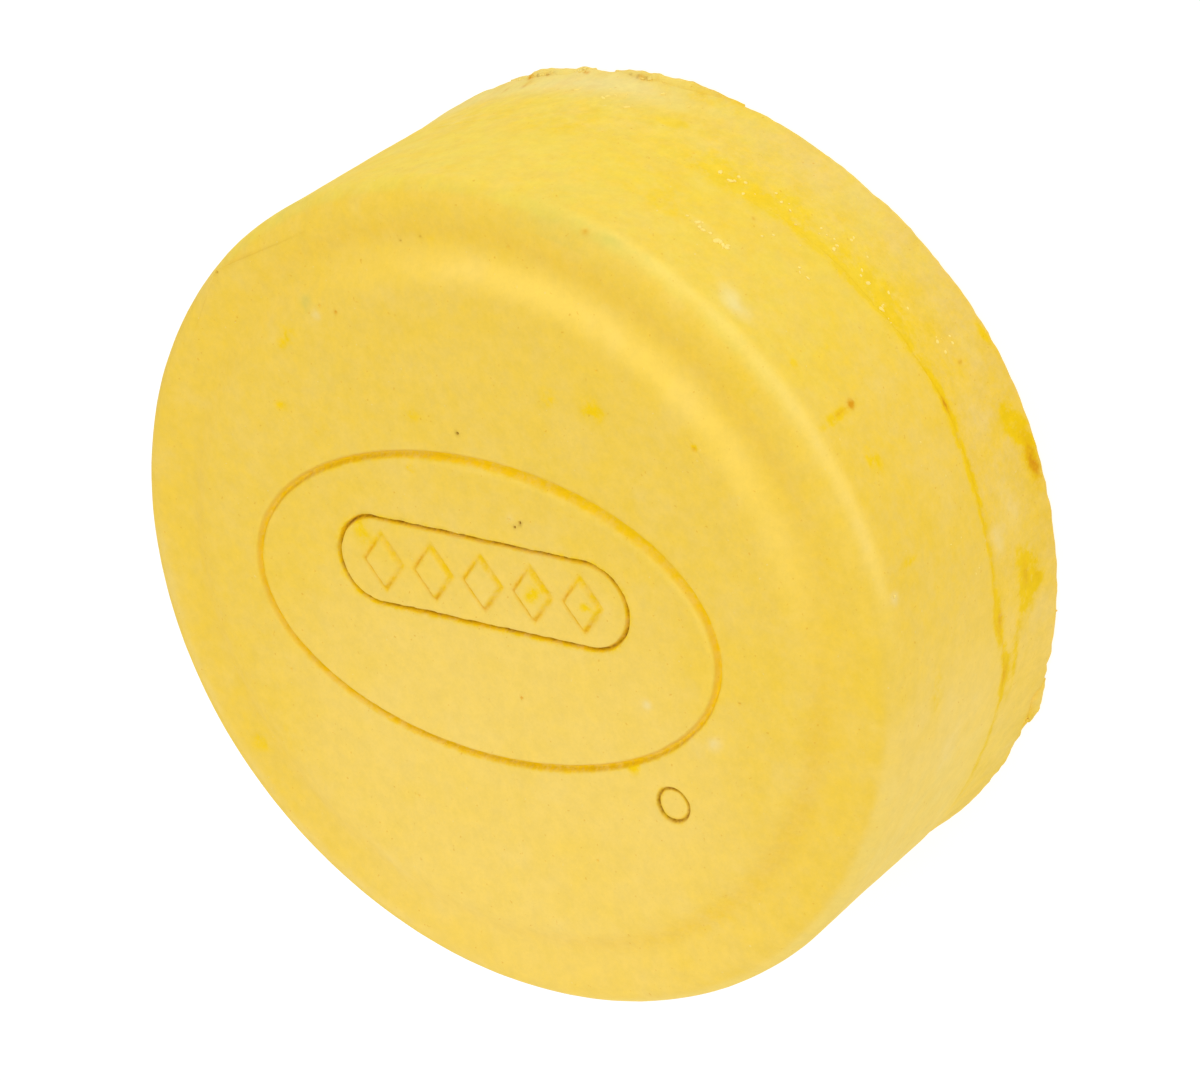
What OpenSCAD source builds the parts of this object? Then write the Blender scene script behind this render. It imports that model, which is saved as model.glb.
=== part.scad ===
// Round cast clay bar: a hard, dry cake with a raised face disc, poured in two layers.
// Millimetres. The bar lies on its flat back: origin at the middle of the back face, +Z out of the
// embossed face, +X along the long way of the oval on that face.

/* [Cake] */
// Diameter of the side wall at its widest, just below the front edge
cake_d = 70; // [64:0.5:90]
// Thickness from the back face to the flat rim ring of the front
cake_t = 25; // [20:0.5:32]
// Radius of the rounded front edge
edge_r = 2.2; // [1:0.1:3]
// Radius of the small round where the wall meets the back face
back_edge_r = 0.6; // [0.3:0.1:1.5]
// How far the wall draws in from the front edge to the back face
wall_draw = 0.5; // [0:0.05:0.8]

/* [Pour line] */
// Height of the line between the two layers above the back face
pour_h = 9.3; // [6:0.1:12]
// How far the second layer's wall is set in behind the line
pour_step = 0.15; // [0.05:0.05:0.4]
// How far the first layer climbed the mould wall, which leaves its back dished
dish_h = 0.6; // [0.3:0.1:1.2]
// Width of the lip that the dish leaves at the wall
lip_w = 0.8; // [0.5:0.1:1.5]

/* [Raised disc] */
// Height of the disc above the rim ring
disc_h = 1.3; // [0.6:0.1:2]
// Width of the soft slope from the rim ring up to the disc
slope_w = 3.9; // [2.5:0.1:5]
// Width of the flat rim ring between the edge round and the slope
ring_w = 2.15; // [1.5:0.05:4]

/* [Oval groove] */
// Half the oval's long way, along X
oval_a = 21.5; // [18:0.5:22.5]
// Half the oval's short way, along Y
oval_b = 12.9; // [11:0.1:15]
// Width of the groove
groove_w = 0.7; // [0.4:0.1:1.2]
// Depth of the groove
groove_d = 0.45; // [0.2:0.05:0.8]

/* [Plaque] */
// Length of the round-ended plaque inside the oval
plaque_l = 27; // [22:0.5:28]
// Height of the plaque, along Y
plaque_w = 7.4; // [6:0.2:9]
// Distance of the plaque's middle from the oval's middle, along Y
plaque_up = 2.5; // [0:0.1:3]
// Width of the line that outlines the plaque
outline_w = 0.5; // [0.3:0.1:0.8]
// How many lozenges stand in the plaque
lozenge_count = 5; // [3:1:5]
// Height of the lozenges above the disc
lozenge_h = 0.3; // [0.1:0.05:0.6]

/* [Dimple] */
// Diameter of the round ejector mark below the oval
dimple_d = 2.8; // [1.5:0.1:4]
// Depth of the ejector mark
dimple_depth = 0.3; // [0.1:0.05:0.6]

/* [Rim flash] */
// How far the hardened overflow stands out from the back rim
flash_t = 0.6; // [0.2:0.05:0.8]
// Height of the overflow above the back face
flash_h = 2.2; // [1:0.1:4]

/* [Hidden] */

cake_r = cake_d / 2;
wall_top = cake_t - edge_r;
face_h = cake_t + disc_h;
slope_out_r = cake_r - edge_r - ring_w;
slope_in_r = slope_out_r - slope_w;

// Both arcs of the slope have this radius and turn through this angle.
slope_r = (slope_w * slope_w + disc_h * disc_h) / (4 * disc_h);
slope_turn = 2 * atan(disc_h / slope_w);

// The oval sits a little left of the disc's middle, and the ejector mark below and right of it.
oval_middle = [-1.2, -0.4];
dimple_middle = [14.9, -13.8];

lozenge_w = 3.2;
lozenge_l = 4.2;
lozenge_pitch = (plaque_l - plaque_w / 2) / lozenge_count;

// Direction and half angle of each patch of overflow on the back rim.
flash_patches = [[89, 7], [106, 6], [-23, 5]];
flash_foot = 0.2;

front_yellow = [0.95, 0.80, 0.33];
back_yellow = [0.93, 0.77, 0.30];
flash_orange = [0.90, 0.68, 0.22];

round_fn = 360;
oval_steps = 96;
arc_steps = 8;
cut = 1;

// Points along an arc of radius r about [x, y], from angle a0 to angle a1.
function arc(x, y, r, a0, a1) =
    [for (i = [0 : arc_steps]) let (a = a0 + (a1 - a0) * i / arc_steps) [x + r * cos(a), y + r * sin(a)]];

// Points around an ellipse with half axes a and b.
function ellipse(a, b) =
    [for (i = [0 : oval_steps - 1]) [a * cos(360 * i / oval_steps), b * sin(360 * i / oval_steps)]];

function reversed(points) = [for (i = [len(points) - 1 : -1 : 0]) points[i]];

// The drawn wall's radius at height z.
function wall_r(z) = cake_r - wall_draw * (1 - z / wall_top);

// The surface where the layers meet, from the wall in to the axis: a lip, a quarter round and a flat.
function meeting_line() = concat(
    arc(wall_r(pour_h) - lip_w - dish_h, pour_h, dish_h, 0, 90),
    [[0, pour_h + dish_h]]);

module front_body() {
    rotate_extrude($fn = round_fn)
        polygon(concat(
            [[wall_r(pour_h), pour_h]],
            arc(cake_r - edge_r, wall_top, edge_r, 0, 90),
            arc(slope_out_r, cake_t + slope_r, slope_r, -90, -90 - slope_turn),
            arc(slope_in_r, face_h - slope_r, slope_r, 90 - slope_turn, 90),
            [[0, face_h]],
            reversed(meeting_line())));
}

module back_body() {
    rotate_extrude($fn = round_fn)
        polygon(concat(
            [[0, 0]],
            arc(wall_r(0) - pour_step - back_edge_r, back_edge_r, back_edge_r, -90, 0),
            [[wall_r(pour_h) - pour_step, pour_h]],
            meeting_line()));
}

module round_ended(length, width) {
    square([length - width, width], center = true);
    for (side = [-1, 1])
        translate([side * (length - width) / 2, 0])
            circle(d = width, $fn = round_fn);
}

// Cuts a flat shape into the disc to the given depth.
module engrave(depth) {
    translate([0, 0, face_h - depth])
        linear_extrude(depth + cut)
            children();
}

module oval_ring() {
    difference() {
        polygon(ellipse(oval_a + groove_w / 2, oval_b + groove_w / 2));
        polygon(ellipse(oval_a - groove_w / 2, oval_b - groove_w / 2));
    }
}

module plaque_outline() {
    difference() {
        round_ended(plaque_l, plaque_w);
        round_ended(plaque_l - 2 * outline_w, plaque_w - 2 * outline_w);
    }
}

module lozenges() {
    for (i = [0 : lozenge_count - 1])
        translate([(i - (lozenge_count - 1) / 2) * lozenge_pitch, 0, face_h - cut])
            linear_extrude(lozenge_h + cut)
                polygon([[lozenge_w / 2, 0], [0, lozenge_l / 2], [-lozenge_w / 2, 0], [0, -lozenge_l / 2]]);
}

// A crescent that bulges flash_t past the wall and dies out at the half angle on each side.
module flash_patch(half_angle) {
    base_r = wall_r(0) - pour_step;
    crown_r = base_r + flash_t;
    shift = (crown_r * crown_r - base_r * base_r) / (2 * (crown_r - base_r * cos(half_angle)));
    translate([shift, 0, flash_foot])
        cylinder(r = crown_r - shift, h = flash_h - flash_foot, $fn = round_fn);
}

// First layer cast: the embossed face, the rounded edge and the wall down to the pour line.
module front_layer() {
    color(front_yellow)
        difference() {
            union() {
                front_body();
                translate([oval_middle.x, oval_middle.y + plaque_up, 0])
                    lozenges();
            }
            translate([oval_middle.x, oval_middle.y, 0])
                engrave(groove_d)
                    oval_ring();
            translate([oval_middle.x, oval_middle.y + plaque_up, 0])
                engrave(groove_d)
                    plaque_outline();
            translate([dimple_middle.x, dimple_middle.y, face_h - dimple_depth])
                cylinder(d = dimple_d, h = dimple_depth + cut, $fn = round_fn);
        }
}

// Second layer cast: the rest of the wall and the flat back that the bar lies on.
module back_layer() {
    color(back_yellow)
        back_body();
}

// Hardened overflow on the back rim, in patches that meet the back layer's wall.
module rim_flash() {
    color(flash_orange)
        difference() {
            for (patch = flash_patches)
                rotate(patch[0])
                    flash_patch(patch[1]);
            back_body();
        }
}

front_layer();
back_layer();
rim_flash();
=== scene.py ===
"""Looks of the round clay bar: a hard, dry, yellow cake cast in two layers, lying on its flat back.

Shapes are worked out in millimetres in the frame's own axes and turned to metres when a mesh is
made. Azimuths are degrees from +X towards +Y.
"""
import math

import bmesh
import bpy
import numpy as np
from mathutils import Matrix, Vector, geometry, kdtree, noise


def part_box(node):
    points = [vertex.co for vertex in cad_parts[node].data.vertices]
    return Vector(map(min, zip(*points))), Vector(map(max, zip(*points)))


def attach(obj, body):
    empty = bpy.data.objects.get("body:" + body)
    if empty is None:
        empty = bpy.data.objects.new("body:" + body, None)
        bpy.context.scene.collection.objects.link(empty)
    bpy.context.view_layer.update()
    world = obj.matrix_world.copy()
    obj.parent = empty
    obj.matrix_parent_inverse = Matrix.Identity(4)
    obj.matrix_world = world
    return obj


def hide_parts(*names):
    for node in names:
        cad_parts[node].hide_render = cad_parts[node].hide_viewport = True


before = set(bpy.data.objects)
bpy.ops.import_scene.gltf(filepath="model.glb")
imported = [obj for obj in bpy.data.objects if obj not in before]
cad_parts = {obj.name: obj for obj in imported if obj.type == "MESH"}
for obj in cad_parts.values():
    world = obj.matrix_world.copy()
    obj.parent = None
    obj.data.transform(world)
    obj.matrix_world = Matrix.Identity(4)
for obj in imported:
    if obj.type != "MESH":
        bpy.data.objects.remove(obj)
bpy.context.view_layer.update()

MM = 0.001
rng = np.random.default_rng(7)

# ---------------------------------------------------------------- sizes

front_low, front_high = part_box("front_layer")
back_low, back_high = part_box("back_layer")

LOZENGE_H = 0.3
CAKE_R = (front_high.x - front_low.x) / 2 / MM
FACE_Z = front_high.z / MM - LOZENGE_H
# The two layers meet on a shallow dish, whose floor is at this height.
DISH_Z = (back_high.z - back_low.z) / MM

EDGE_R = 2.2
RING_W = 2.15
SLOPE_W = 3.9
DISC_H = 1.3
RING_Z = FACE_Z - DISC_H
WALL_TOP_Z = RING_Z - EDGE_R
RING_OUT_R = CAKE_R - EDGE_R
SLOPE_OUT_R = RING_OUT_R - RING_W
SLOPE_IN_R = SLOPE_OUT_R - SLOPE_W
SLOPE_MID_R = (SLOPE_IN_R + SLOPE_OUT_R) / 2

OVAL_X, OVAL_Y = -1.2, -0.4
OVAL_A, OVAL_B = 21.5, 12.9
GROOVE_W, GROOVE_D = 0.6, 0.45
# Round this direction of the oval the groove is wider, by this share of its width.
WIDE_AT, WIDE_SPREAD, WIDE_SHARE = 52.0, 38.0, 0.9
PLAQUE_L, PLAQUE_W, PLAQUE_UP = 27.0, 7.4, 2.5
OUTLINE_W, OUTLINE_D, PAD_H = 0.4, 0.5, 0.06
LOZENGE_COUNT, LOZENGE_W, LOZENGE_L = 5, 3.2, 4.2
DIMPLE_X, DIMPLE_Y, DIMPLE_R, DIMPLE_D = 14.9, -13.8, 1.4, 0.3

# The wall draws in by DRAFT for each millimetre down, for DRAFT_RUN below the front edge.
DRAFT, DRAFT_RUN = 0.047, 17.5
# Towards ROUNDER_AT it draws in less, and over a longer run.
ROUNDER_AT, ROUNDER_SPREAD, LESS_DRAFT, MORE_RUN = 39.0, 75.0, 0.019, 6.0
# Towards WIDER_AT the cake is a little wider.
WIDER_AT, WIDER_SPREAD, WIDER_BY = 225.0, 50.0, 0.1
# How far the first layer stands over the second one at the pour line, and the bead along its lip.
STEP_W, BEAD_W = 0.26, 0.06
# The bulge of the back edge starts at this height, and would be full this far below it.
FLARE_Z, FLARE_RUN = 5.5, 6.5

# How many vertices go round the cake, and how many rings make up each stretch of its outline.
COLUMNS = 720
EDGE_RINGS, WALL_RINGS, BACK_RINGS, FOOT_RINGS, BASE_RINGS = 12, 45, 34, 5, 24
AZIMUTHS = np.arange(COLUMNS) * 360.0 / COLUMNS

# ---------------------------------------------------------------- what age and casting left on it, and a painted reflection

# Where the line between the two layers runs: (azimuth, height above the back face).
POUR_LINE = [
    (-110, 9.0), (-60, 8.4), (-38, 7.5), (-20, 7.2), (-12, 7.4), (-8, 7.9), (-3, 9.2), (11, 9.0),
    (20, 8.7), (28, 8.3), (36, 8.7), (46, 9.2), (58, 9.6), (72, 11.0), (100, 10.4), (140, 9.6),
    (200, 9.0)]
# How far the back edge bulges past the drawn wall: (azimuth, millimetres).
RIM_BULGE = [
    (-60, 0.15), (-35, 0.45), (-20, 0.65), (0, 0.65), (30, 0.82), (45, 0.68), (65, 0.45), (82, 0.55),
    (100, 0.45), (125, 0.1), (200, 0.2), (260, 0.2)]
# How ragged that bulge is: (azimuth, millimetres).
RIM_RAGGED = [
    (-45, 0.05), (-34, 0.25), (-22, 0.15), (-10, 0.04), (40, 0.04), (80, 0.08), (90, 0.2), (110, 0.2),
    (118, 0.05), (200, 0.12), (280, 0.12)]
# A chip along that bulge: first azimuth, last azimuth, depth.
RIM_CHIP = (-35.5, -26.5, 0.12)
# A painted reflection lies on the face about this point below its middle, out to a radius and then fading.
PAINTED_REFLECTION_Y, PAINTED_REFLECTION_R, PAINTED_REFLECTION_FADE = -16.0, 12.0, 16.0
# Pits and bumps of the face: (x, y, radius, depth), where a bump's depth is negative.
PITS = [
    (-2.2, 14.7, 0.11, 0.2), (2.4, 7.6, 0.1, 0.2), (2.9, 8.1, 0.12, 0.2), (1.9, 8.2, 0.08, 0.1),
    (-7.1, 10.9, 0.42, -0.2), (1.5, -7.2, 0.3, -0.14), (1.5, -7.25, 0.12, 0.2), (19.9, 17.6, 0.2, 0.1),
    (-17.0, 8.3, 0.1, 0.12), (7.2, -20.3, 0.12, 0.12), (-9.5, -18.2, 0.1, 0.12),
    (22.0, -3.5, 0.12, 0.15), (-14.2, 23.3, 0.12, 0.15), (-20.8, -9.4, 0.11, 0.12),
    (11.5, 22.6, 0.1, 0.12), (3.4, 30.9, 0.16, 0.12), (-12.7, 23.1, 0.09, 0.1), (-6.7, 29.6, 0.1, 0.1),
    (-4.8, 30.3, 0.1, 0.1), (-24.8, 23.7, 0.12, 0.1)]
# Scratches of the face: (x, y) to (x, y), width, depth.
SCRATCHES = [
    ((19.4, 18.5), (21.1, 16.0), 0.12, 0.05), ((18.9, 18.3), (19.9, 17.0), 0.1, 0.03),
    ((-14.5, 17.4), (-13.6, 15.9), 0.09, 0.02), ((12.8, -9.0), (17.5, -7.6), 0.12, 0.02)]
# Marks of each tint on the face: (x, y, radius, strength).
FACE_MARKS = {
    "rich": [
        (-18.9, 14.0, 0.5, 1.3), (-17.5, 20.3, 0.75, 1.2), (-18.3, 19.2, 0.45, 1.0),
        (6.7, 19.4, 1.0, 0.9), (10.6, 19.1, 1.1, 1.2), (-6.5, 15.5, 0.9, 0.8), (-15.5, 12.6, 1.4, 0.35),
        (-25.6, -17.6, 0.9, 0.9), (-7.1, 10.9, 0.45, 1.2), (3.6, 2.3, 0.7, 1.3), (-12.3, 4.2, 1.0, 0.9),
        (8.6, 1.9, 0.5, 0.9), (11.6, -11.2, 0.6, 1.0), (20.0, 17.8, 0.35, 1.2), (15.5, 21.5, 3.0, 0.2),
        (24.3, 23.2, 2.0, 0.4), (-3.6, 30.2, 0.6, 0.6), (17.0, -23.5, 3.0, 0.15),
        (-22.5, -15.5, 4.0, 0.25)],
    "stain_and_shade": [
        (-12.7, 23.1, 0.2, 0.8), (19.9, 17.6, 0.25, 0.5), (1.5, -7.25, 0.2, 0.5)],
    "dirt_and_shade": [
        (-2.2, 14.7, 0.15, 1.0), (2.4, 7.6, 0.13, 0.9), (2.9, 8.1, 0.16, 1.0), (-6.7, 29.6, 0.14, 0.5),
        (-4.8, 30.3, 0.14, 0.4), (-24.8, 23.7, 0.16, 0.5)],
    "pale": [
        (13.3, -5.5, 0.5, 0.6), (19.4, -7.6, 0.8, 0.5), (17.6, -8.2, 1.0, 0.3), (26.4, -9.0, 2.4, 0.3),
        (2.0, 8.2, 0.5, 0.35), (-14.6, 22.4, 0.5, 0.6)],
    "green": [
        (-15.6, 23.0, 0.8, 0.5), (-14.0, 17.5, 2.0, 0.18), (6.0, 12.0, 3.5, 0.12)],
}
# Marks of each tint on the wall: (azimuth, height, half width along the wall, half height, strength).
WALL_MARKS = {
    "rich": [
        (50, 9.2, 6.0, 0.7, 1.2), (63, 9.3, 5.0, 1.1, 1.1), (44, 7.3, 3.4, 1.3, 1.3),
        (58, 7.6, 1.8, 0.7, 0.9), (67, 10.0, 3.2, 1.0, 1.4), (34, 7.4, 3.0, 0.8, 0.5),
        (80, 5.9, 1.1, 0.5, 3.6), (47, 8.0, 4.5, 1.1, 0.6), (70, 7.7, 1.6, 1.2, 0.9),
        (83, 15.5, 7.0, 3.0, 0.3), (92, 10.0, 6.0, 2.0, 0.25), (-2, 4.3, 2.6, 1.1, 1.5),
        (1.5, 4.2, 1.5, 1.3, 1.4), (-1.5, 3.0, 1.1, 0.9, 1.4), (-11, 5.7, 3.5, 0.6, 1.1),
        (15, 1.2, 2.6, 0.9, 1.9), (20, 2.2, 1.7, 0.9, 1.4), (31.5, 0.8, 1.1, 0.4, 1.3),
        (-4, 8.4, 2.2, 0.6, 1.7), (-12.5, 7.0, 2.4, 0.6, 1.4), (-30, 6.9, 5.0, 0.9, 0.5),
        (27, 19.0, 1.2, 0.7, 1.1), (13.2, 19.4, 0.4, 1.1, 1.1), (33.8, 20.2, 0.45, 2.0, 1.7),
        (42.3, 20.7, 0.4, 0.4, 1.7), (41.5, 17.0, 0.4, 1.6, 0.8), (69, 17.0, 3.0, 1.2, 0.35),
        (-6, 18.0, 2.6, 0.8, 0.7), (70, 14.5, 6.0, 3.0, 0.5), (92, 11.5, 5.0, 1.4, 0.5),
        (44, 14.0, 1.0, 1.2, 0.5), (24, 17.5, 3.5, 2.0, 0.25), (27, 8.2, 2.0, 0.6, 1.6),
        (17, 8.8, 4.0, 0.5, 1.0), (60, 7.2, 1.4, 1.0, 1.1), (107.5, 2.0, 2.2, 1.0, 0.9),
        (81.5, 1.0, 6.0, 1.2, 1.2), (-26, 0.8, 2.5, 0.8, 0.6)],
    "stain_and_shade": [
        (26.6, 8.2, 0.8, 0.36, 1.1), (34, 18.1, 0.42, 0.36, 1.6), (33.9, 19.8, 0.3, 1.2, 0.7),
        (14.4, 1.3, 2.1, 0.6, 0.85), (12.8, 0.9, 0.8, 0.5, 0.7), (0, 4.3, 1.3, 0.6, 0.5),
        (-1, 2.8, 0.8, 0.6, 0.35), (-3.5, 8.3, 1.2, 0.4, 0.7), (-12.5, 7.0, 1.1, 0.4, 0.6),
        (30, 4.3, 0.25, 0.25, 0.9), (60.5, 11.8, 0.2, 0.2, 0.7), (80, 0.4, 2.4, 0.4, 0.5),
        (42, 20.5, 0.2, 0.2, 0.6), (108, 1.0, 0.4, 0.3, 0.9), (107, 2.2, 0.4, 0.9, 0.7),
        (110.5, 2.4, 0.3, 0.8, 0.5), (104.5, 1.1, 0.5, 0.25, 0.6), (98.5, 1.0, 0.3, 0.3, 0.9),
        (90, 1.0, 0.6, 0.28, 0.6), (87.5, 0.9, 0.25, 0.2, 0.4), (73, 24.2, 0.5, 0.3, 0.7)],
    "dirt_and_shade": [
        (104.8, 1.1, 0.25, 0.2, 0.6), (106.6, 1.0, 0.25, 0.2, 0.5), (90.4, 1.1, 0.25, 0.2, 0.7),
        (91.8, 0.9, 0.22, 0.2, 0.6), (89.2, 0.9, 0.22, 0.2, 0.5)],
    "pale": [
        (52, 21.2, 2.0, 0.9, 0.7), (55.5, 20.2, 1.2, 0.7, 0.35), (10.3, 22.3, 0.5, 0.6, 0.6),
        (-17, 15.0, 1.8, 1.5, 0.25), (64, 16.3, 2.0, 0.6, 0.3), (10, 4.8, 3.2, 2.2, 0.42),
        (96, 2.6, 7.0, 1.6, 0.3), (7, 7.4, 1.4, 0.9, 0.5), (24, 5.6, 3.5, 1.6, 0.3),
        (31, 2.6, 3.0, 1.2, 0.3), (22, 13.0, 6.0, 2.0, 0.2), (86, 12.5, 1.5, 0.9, 0.25)],
    "green": [
        (69, 23.8, 1.3, 0.5, 0.35), (65, 23.6, 1.0, 0.4, 0.3), (122, 23.0, 4.0, 1.4, 0.45),
        (52, 3.4, 2.5, 1.2, 0.2), (79.5, 21.2, 2.4, 1.5, 0.3), (100, 20.5, 2.5, 1.0, 0.25)],
}
# Patches of dust on the wall: (azimuth, height, half width along it, half height, count, size).
PALE_FLECKS = [
    (64, 16.4, 1.6, 0.4, 9, 0.15), (61, 16.8, 1.0, 0.3, 4, 0.13), (41, 8.6, 1.6, 0.35, 7, 0.14),
    (47, 6.8, 3.5, 1.1, 12, 0.13), (58, 8.2, 3.5, 1.0, 9, 0.12), (34, 5.2, 1.5, 1.0, 6, 0.14),
    (66, 9.4, 2.6, 0.8, 7, 0.12), (52, 12.5, 6.0, 1.6, 7, 0.1), (39.6, 5.9, 0.4, 0.3, 3, 0.15),
    (10.3, 22.4, 0.2, 0.2, 2, 0.13), (90, 4.0, 5.5, 1.4, 12, 0.14), (20, 12.0, 12.0, 5.0, 8, 0.07)]
# Patches of crumbs of overflow on the back edge, in the same form.
RIM_CRUMBS = [
    (107.5, 0.9, 1.6, 0.35, 14, 0.15), (99, 0.8, 0.8, 0.3, 5, 0.13), (89, 0.8, 1.8, 0.3, 14, 0.14),
    (-24, 0.9, 0.9, 0.4, 4, 0.16), (-8, 0.4, 0.1, 0.1, 1, 0.15)]
# Ridges of overflow on the back edge: (first azimuth, last azimuth, thickness).
FLASH_RIDGES = [(75.0, 95.0, 0.38), (98.0, 112.5, 0.3), (-26.6, -19.0, 0.5)]


# ---------------------------------------------------------------- small maths

def smooth(t):
    """A rise from 0 to 1 that is level at both ends."""
    t = np.clip(t, 0.0, 1.0)
    return t * t * (3 - 2 * t)


def two_arcs(t):
    """A rise from 0 to 1 that is steepest halfway."""
    t = np.clip(t, 0.0, 1.0)
    return np.where(t < 0.5, 2 * t * t, 1 - 2 * (1 - t) ** 2)


def bell(distance, width):
    """1 at no distance, fading on both sides to about a third at the width."""
    return np.exp(-(distance / width) ** 2)


def turn(a, b):
    """Degrees from azimuth b to azimuth a, between -180 and 180."""
    return (a - b + 180.0) % 360.0 - 180.0


def sector(azimuth, middle, reach, fade):
    """1 about the middle azimuth, falling over the last fade degrees to 0 at reach from it."""
    return smooth((reach - np.abs(turn(azimuth, middle))) / fade)


def span(azimuth, first, rise, last, fall):
    """A rise from 0 at the first azimuth over rise degrees, and a fall over fall degrees to the last."""
    return smooth((azimuth - first) / rise) * smooth((last - azimuth) / fall)


def lumps(points, size, seed, octaves=1):
    """Smooth random values in about -1..1 at the points, with lumps about size across."""
    total = np.zeros(len(points))
    for octave in range(octaves):
        places = np.asarray(points) * 2 ** octave / size + (seed * 17.3, seed * 5.1, seed * 9.7)
        total += np.array([noise.noise(p) for p in places.tolist()]) / 2 ** octave
    return total


def around(azimuths, size, seed, octaves=1):
    """The same, along the wall: size is in millimetres of wall."""
    angle = np.radians(azimuths)
    circle = np.stack([CAKE_R * np.cos(angle), CAKE_R * np.sin(angle), np.zeros(len(angle))], 1)
    return lumps(circle, size, seed, octaves)


def through(knots, azimuths):
    """A smooth closed curve through (azimuth, value) knots, read at the azimuths."""
    knots = sorted((a % 360.0, v) for a, v in knots)
    knots = [(knots[-1][0] - 360.0, knots[-1][1])] + knots + [(knots[0][0] + 360.0, knots[0][1])]
    at, values = np.array(knots).T
    azimuths = np.asarray(azimuths) % 360.0
    i = np.clip(np.searchsorted(at, azimuths, side="right") - 1, 0, len(at) - 2)
    t = smooth((azimuths - at[i]) / (at[i + 1] - at[i]))
    return values[i] * (1 - t) + values[i + 1] * t


# ---------------------------------------------------------------- the front face

def oval_gap(x, y):
    """Distance from the oval line, positive outside."""
    tiny = 1e-9
    u, v = (x - OVAL_X) / OVAL_A, (y - OVAL_Y) / OVAL_B
    f = np.hypot(u, v) + tiny
    slope = np.hypot(u / OVAL_A, v / OVAL_B) + tiny
    return (f - 1) * f / slope


def plaque_gap(x, y):
    """Distance from the outline of the round-ended plaque, positive outside."""
    half = (PLAQUE_L - PLAQUE_W) / 2
    dx = np.maximum(np.abs(x - OVAL_X) - half, 0)
    return np.hypot(dx, y - OVAL_Y - PLAQUE_UP) - PLAQUE_W / 2


def lozenge_place(x, y):
    """Where a point lies from the middle of the nearest lozenge of the row."""
    pitch = (PLAQUE_L - PLAQUE_W / 2) / LOZENGE_COUNT
    place = np.clip(np.round((x - OVAL_X) / pitch), -(LOZENGE_COUNT // 2), LOZENGE_COUNT // 2)
    return x - OVAL_X - place * pitch, y - OVAL_Y - PLAQUE_UP


def lozenge_gap(x, y):
    """Distance outside the nearest lozenge of the row, negative inside."""
    dx, dy = lozenge_place(x, y)
    reach = np.abs(dx) / (LOZENGE_W / 2) + np.abs(dy) / (LOZENGE_L / 2)
    return (reach - 1) / math.hypot(2 / LOZENGE_W, 2 / LOZENGE_L)


def scratch_gap(x, y, start, end):
    """Distance from the straight line between two points."""
    ax, ay = start
    bx, by = end[0] - ax, end[1] - ay
    t = np.clip(((x - ax) * bx + (y - ay) * by) / (bx * bx + by * by), 0, 1)
    return np.hypot(x - ax - t * bx, y - ay - t * by)


def oval_direction(x, y):
    """Degrees round the oval from its right end towards its top."""
    return np.degrees(np.arctan2((y - OVAL_Y) / OVAL_B, (x - OVAL_X) / OVAL_A))


def groove_width(x, y):
    """Width of the oval groove, which is wider on the upper right."""
    return GROOVE_W * (1 + WIDE_SHARE * bell(turn(oval_direction(x, y), WIDE_AT), WIDE_SPREAD))


def face_height(x, y):
    """Height of the face with its moulded marks, pits and scratches."""
    flat = np.column_stack([x, y, np.zeros(len(x))])
    z = RING_Z + DISC_H * two_arcs((SLOPE_OUT_R - np.hypot(x, y)) / SLOPE_W)

    # Worn moulded lines wander a little.
    wander = 0.07 * lumps(flat, 1.1, 11, 2)
    groove = np.abs(oval_gap(x, y) + 0.5 * wander) / (groove_width(x, y) / 2)
    z -= GROOVE_D * smooth(1.2 - groove)

    # A low pad carries the plaque and its outline.
    gap = plaque_gap(x, y)
    z += PAD_H * smooth((1.3 - gap) / 1.1)
    cut = np.abs(gap + wander + 0.03 * lumps(flat, 0.35, 12)) / (OUTLINE_W / 2)
    z -= OUTLINE_D * (0.85 + 0.3 * lumps(flat, 2.0, 13)) * smooth(1.15 - cut)

    # Each lozenge has a shallow furrow round it.
    side = lozenge_gap(x, y) + 0.6 * wander
    z += (LOZENGE_H - PAD_H) * smooth(0.5 - side / 0.3)
    z -= 0.12 * bell(side - 0.2, 0.16) * (gap < -0.4)

    # The dimple is shallow, with a deeper line round its edge.
    dimple = np.hypot(x - DIMPLE_X, y - DIMPLE_Y) + wander
    z -= 0.5 * DIMPLE_D * smooth((DIMPLE_R - dimple) / 0.3)
    z -= DIMPLE_D * smooth(1 - np.abs(dimple - DIMPLE_R) / 0.2)

    for px, py, radius, depth in PITS:
        z -= depth * smooth(1.2 - np.hypot(x - px, y - py) / (radius * 1.2))
    for start, end, width, depth in SCRATCHES:
        z -= depth * smooth(1 - scratch_gap(x, y, start, end) / width)
    return z


def circle_points(radius, count, cx=0.0, cy=0.0):
    """Points evenly round a circle."""
    a = np.arange(count) * 2 * math.pi / count
    return np.stack([cx + radius * np.cos(a), cy + radius * np.sin(a)], 1)


def oval_points(offset, spacing):
    """Points beside the oval line, offset out from it."""
    count = round(2 * math.pi * math.sqrt((OVAL_A ** 2 + OVAL_B ** 2) / 2) / spacing)
    a = np.arange(count) * 2 * math.pi / count
    normal = np.stack([np.cos(a) / OVAL_A, np.sin(a) / OVAL_B], 1)
    normal /= np.linalg.norm(normal, axis=1, keepdims=True)
    return np.stack([OVAL_X + OVAL_A * np.cos(a), OVAL_Y + OVAL_B * np.sin(a)], 1) + offset * normal


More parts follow.
